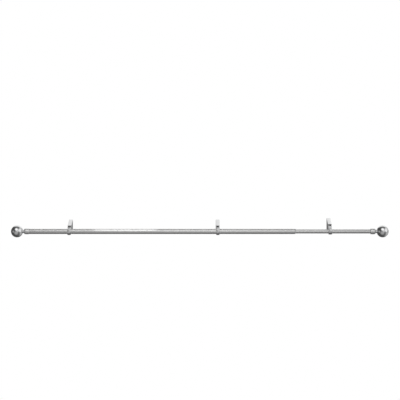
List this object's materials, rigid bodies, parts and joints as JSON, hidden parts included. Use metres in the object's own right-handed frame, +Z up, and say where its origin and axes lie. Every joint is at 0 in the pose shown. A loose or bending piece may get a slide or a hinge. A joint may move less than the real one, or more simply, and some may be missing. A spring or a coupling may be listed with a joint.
{
  "type": "curtain rod with brackets",
  "caption": "Telescopic curtain rod with ball finials, lying in the open cups of wall brackets with sloping arms and grub screws.",
  "frame": {"origin": "centre of the middle bracket's wall plate, on the face that meets the wall", "axes": "+X along the rod towards the thinner tube, +Y into the wall, +Z up"},
  "size_m": [1.4722, 0.1032, 0.0745],
  "materials": {
    "satin_nickel": "satin nickel, brushed along the tube",
    "polished_chrome": "polished",
    "zinc_steel": "zinc plated",
    "grey_nylon": "moulded"
  },
  "bodies": {
    "brackets": {"left_wall_plate": "zinc_steel", "left_bracket_arm": "polished_chrome", "centre_wall_plate": "zinc_steel", "centre_bracket_arm": "polished_chrome", "right_wall_plate": "zinc_steel", "right_bracket_arm": "polished_chrome"},
    "outer_rod": {"outer_tube": "satin_nickel", "tube_mouth_bush": "grey_nylon", "left_end_plug": "grey_nylon"},
    "inner_rod": {"inner_tube": "satin_nickel", "inner_tube_guide": "grey_nylon", "right_end_plug": "grey_nylon", "right_reducer_sleeve": "grey_nylon"},
    "left_collar": {"left_collar": "satin_nickel"},
    "right_collar": {"right_collar": "satin_nickel"},
    "left_ball": {"left_finial_ball": "polished_chrome", "left_finial_stud": "zinc_steel"},
    "right_ball": {"right_finial_ball": "polished_chrome", "right_finial_stud": "zinc_steel"},
    "left_cup": {"left_rod_cup": "polished_chrome", "left_cup_screw": "zinc_steel", "left_cup_nut": "zinc_steel"},
    "left_clamp": {"left_clamp_screw": "zinc_steel"},
    "left_lock": {"left_lock_screw": "zinc_steel"},
    "centre_cup": {"centre_rod_cup": "polished_chrome", "centre_cup_screw": "zinc_steel", "centre_cup_nut": "zinc_steel"},
    "centre_clamp": {"centre_clamp_screw": "zinc_steel"},
    "centre_lock": {"centre_lock_screw": "zinc_steel"},
    "right_cup": {"right_rod_cup": "polished_chrome", "right_cup_screw": "zinc_steel", "right_cup_nut": "zinc_steel"},
    "right_clamp": {"right_clamp_screw": "zinc_steel"},
    "right_lock": {"right_lock_screw": "zinc_steel"}
  },
  "joints": [
    {"name": "rod_lift", "type": "slide", "parent": "brackets", "child": "outer_rod", "axis": [0, 0, 1], "range_m": [0, 0.03]},
    {"name": "rod_extend", "type": "slide", "parent": "outer_rod", "child": "inner_rod", "axis": [1, 0, 0], "range_m": [-0.14, 0.66]},
    {"name": "left_collar_pull", "type": "slide", "parent": "outer_rod", "child": "left_collar", "axis": [-1, 0, 0], "range_m": [0, 0.05]},
    {"name": "right_collar_pull", "type": "slide", "parent": "inner_rod", "child": "right_collar", "axis": [1, 0, 0], "range_m": [0, 0.05]},
    {"name": "left_ball_turn", "type": "hinge", "parent": "left_collar", "child": "left_ball", "pos_m": [-0.7549, -0.08, -0.0173], "axis": [-1, 0, 0], "continuous": true},
    {"name": "right_ball_turn", "type": "hinge", "parent": "right_collar", "child": "right_ball", "pos_m": [0.6141, -0.08, -0.0173], "axis": [1, 0, 0], "continuous": true},
    {"name": "left_cup_height", "type": "slide", "parent": "brackets", "child": "left_cup", "axis": [0, 0, 1], "range_m": [-0.004, 0]},
    {"name": "left_clamp_turn", "type": "hinge", "parent": "left_cup", "child": "left_clamp", "pos_m": [-0.5801, -0.08, -0.0293], "axis": [0, 0, 1], "range_deg": [-720, 0]},
    {"name": "left_lock_turn", "type": "hinge", "parent": "brackets", "child": "left_lock", "pos_m": [-0.5801, -0.0075, -0.025], "axis": [0, 0, 1], "range_deg": [-720, 0]},
    {"name": "centre_cup_height", "type": "slide", "parent": "brackets", "child": "centre_cup", "axis": [0, 0, 1], "range_m": [-0.004, 0]},
    {"name": "centre_clamp_turn", "type": "hinge", "parent": "centre_cup", "child": "centre_clamp", "pos_m": [0, -0.08, -0.0293], "axis": [0, 0, 1], "range_deg": [-720, 0]},
    {"name": "centre_lock_turn", "type": "hinge", "parent": "brackets", "child": "centre_lock", "pos_m": [0, -0.0075, -0.025], "axis": [0, 0, 1], "range_deg": [-720, 0]},
    {"name": "right_cup_height", "type": "slide", "parent": "brackets", "child": "right_cup", "axis": [0, 0, 1], "range_m": [-0.001, 0]},
    {"name": "right_clamp_turn", "type": "hinge", "parent": "right_cup", "child": "right_clamp", "pos_m": [0.4384, -0.08, -0.0293], "axis": [0, 0, 1], "range_deg": [-720, 0]},
    {"name": "right_lock_turn", "type": "hinge", "parent": "brackets", "child": "right_lock", "pos_m": [0.4384, -0.0075, -0.0193], "axis": [0, 0, 1], "range_deg": [-720, 0]}
  ]
}
